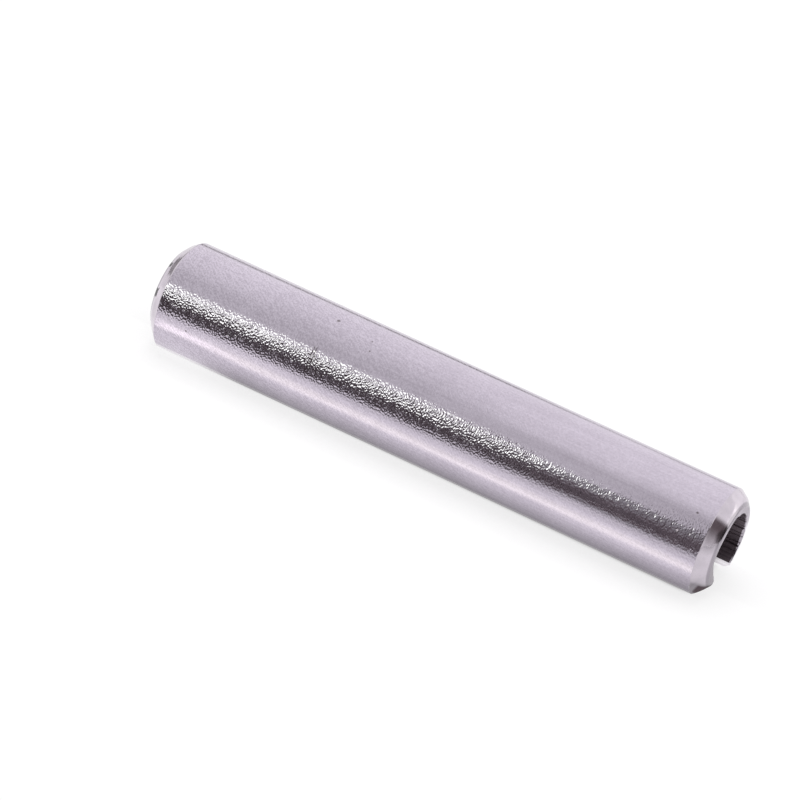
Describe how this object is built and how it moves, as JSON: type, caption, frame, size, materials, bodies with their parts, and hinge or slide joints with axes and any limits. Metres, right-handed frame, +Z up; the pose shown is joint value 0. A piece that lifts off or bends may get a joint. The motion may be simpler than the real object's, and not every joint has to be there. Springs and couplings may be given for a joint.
{
  "type": "slotted spring pin",
  "caption": "Slotted spring pin (roll pin): a strip rolled into an open C with bevelled ends, pressed into a hole to locate or retain parts.",
  "frame": {"origin": "on the pin's axis, half way along its length", "axes": "+X along the pin's axis, +Z up with the slot opening straight down, +Y completing the right-handed set"},
  "size_m": [0.03, 0.0054, 0.0048],
  "materials": {
    "spring_steel": "satin rolled spring steel with a fine pebbled grain, faint drawn lines, and turned end bevels"
  },
  "bodies": {
    "root": {"spring_pin": "spring_steel"}
  },
  "joints": []
}
